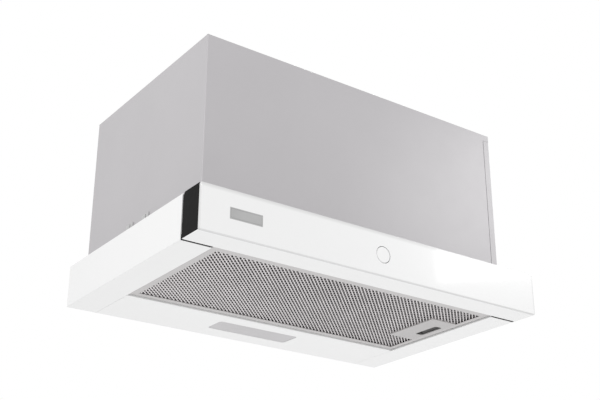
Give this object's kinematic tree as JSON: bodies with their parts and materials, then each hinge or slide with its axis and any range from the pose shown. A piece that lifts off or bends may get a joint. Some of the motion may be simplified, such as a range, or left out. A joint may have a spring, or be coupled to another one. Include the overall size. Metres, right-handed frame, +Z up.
{
  "type": "telescopic cooker hood",
  "caption": "Built-in telescopic cooker hood: grey sheet body, white flange frame, pull-out glass-fronted drawer on rails, mesh grease filter with latch, light, fan and duct spigot.",
  "frame": {"origin": "middle of the hood's width and depth, on the underside that faces the hob", "axes": "+X along the width to the right as the cook sees it, +Y to the wall, +Z up through the duct spigot"},
  "size_m": [0.498, 0.3244, 0.3],
  "materials": {
    "body_grey": "satin paint",
    "frame_white": "smooth satin paint",
    "glass_white": "back-painted white glass, polished",
    "cap_black": "fine moulded texture",
    "button_white": "polished",
    "lens": "frosted diffuser",
    "badge": "brushed",
    "filter_frame": "satin anodised",
    "filter_mesh": "bare expanded mesh",
    "latch": "fine moulded texture",
    "zinc": "zinc plated",
    "fan_casing": "moulded",
    "impeller": "moulded",
    "motor": "satin",
    "white_plastic": "moulded",
    "board": "solder mask",
    "steel": "polished",
    "flap": "moulded"
  },
  "bodies": {
    "hood": {"body_shell": "body_grey", "body_side_right": "body_grey", "top_panel": "body_grey", "cable_gland": "cap_black", "frame_rear": "frame_white", "front_cross_rail": "frame_white", "cabinet_clips": "zinc", "frame_screws": "zinc", "led_lens": "lens", "led_board": "board", "led_housing": "white_plastic", "frame_side_left": "frame_white", "frame_side_right": "frame_white", "rail_outer_left": "zinc", "rail_outer_right": "zinc", "scroll_left": "fan_casing", "scroll_right": "fan_casing", "motor_bracket": "zinc", "motor": "motor", "fan_screws": "zinc", "outlet_collar": "fan_casing", "collar_screws": "zinc", "electronics_box": "white_plastic", "electronics_cover": "white_plastic", "power_board": "board", "terminal_block": "white_plastic", "capacitor": "white_plastic", "drawer_switch": "cap_black"},
    "drawer": {"drawer_profile": "frame_white", "drawer_seals": "cap_black", "glass_front": "glass_white", "badge_plate": "badge", "end_cap_left": "cap_black", "end_cap_right": "cap_black", "visor_frame": "frame_white", "visor_filter": "filter_mesh", "button_housing": "white_plastic", "button_spring": "steel", "control_board": "board", "rail_inner_left": "zinc", "rail_inner_right": "zinc"},
    "power_button": {"power_button": "button_white"},
    "cage_left": {"ball_cage_left": "steel"},
    "cage_right": {"ball_cage_right": "steel"},
    "grease_filter": {"filter_frame": "filter_frame", "filter_mesh_lower": "filter_mesh", "filter_core": "filter_mesh", "filter_mesh_upper": "filter_mesh", "filter_hooks": "filter_frame", "latch_housing": "latch", "latch_spring": "steel"},
    "filter_latch": {"latch_slider": "latch"},
    "fan_wheel": {"impeller": "impeller", "motor_shaft": "steel"},
    "flap_front": {"damper_flap_front": "flap"},
    "flap_rear": {"damper_flap_rear": "flap"}
  },
  "joints": [
    {"name": "drawer_slide", "type": "slide", "parent": "hood", "child": "drawer", "axis": [0, -1, 0], "range_m": [0, 0.17]},
    {"name": "cage_left_slide", "type": "slide", "parent": "hood", "child": "cage_left", "axis": [0, -1, 0], "range_m": [0, 0.085]},
    {"name": "cage_right_slide", "type": "slide", "parent": "hood", "child": "cage_right", "axis": [0, -1, 0], "range_m": [0, 0.085]},
    {"name": "button_press", "type": "slide", "parent": "drawer", "child": "power_button", "axis": [0, 1, 0], "range_m": [0, 0.0012], "stiffness_N_per_m": 800, "springref_m": -0.001, "deforming": ["button_spring"]},
    {"name": "filter_swing", "type": "hinge", "parent": "hood", "child": "grease_filter", "pos_m": [-0.2065, -0.027, 0.0041], "axis": [0, 1, 0], "range_deg": [0, 70]},
    {"name": "latch_slide", "type": "slide", "parent": "grease_filter", "child": "filter_latch", "axis": [-1, 0, 0], "range_m": [0, 0.005], "stiffness_N_per_m": 300, "springref_m": -0.003, "deforming": ["latch_spring"]},
    {"name": "fan_spin", "type": "hinge", "parent": "hood", "child": "fan_wheel", "pos_m": [0, 0.065, 0.158], "axis": [1, 0, 0], "continuous": true},
    {"name": "flap_front_swing", "type": "hinge", "parent": "hood", "child": "flap_front", "pos_m": [0, 0.0055, 0.273], "axis": [-1, 0, 0], "range_deg": [0, 78]},
    {"name": "flap_rear_swing", "type": "hinge", "parent": "hood", "child": "flap_rear", "pos_m": [0, 0.0115, 0.273], "axis": [1, 0, 0], "range_deg": [0, 78]}
  ],
  "couplings": [
    {"joint": "cage_left_slide", "follows": "drawer_slide", "ratio": 0.5},
    {"joint": "cage_right_slide", "follows": "drawer_slide", "ratio": 0.5}
  ]
}
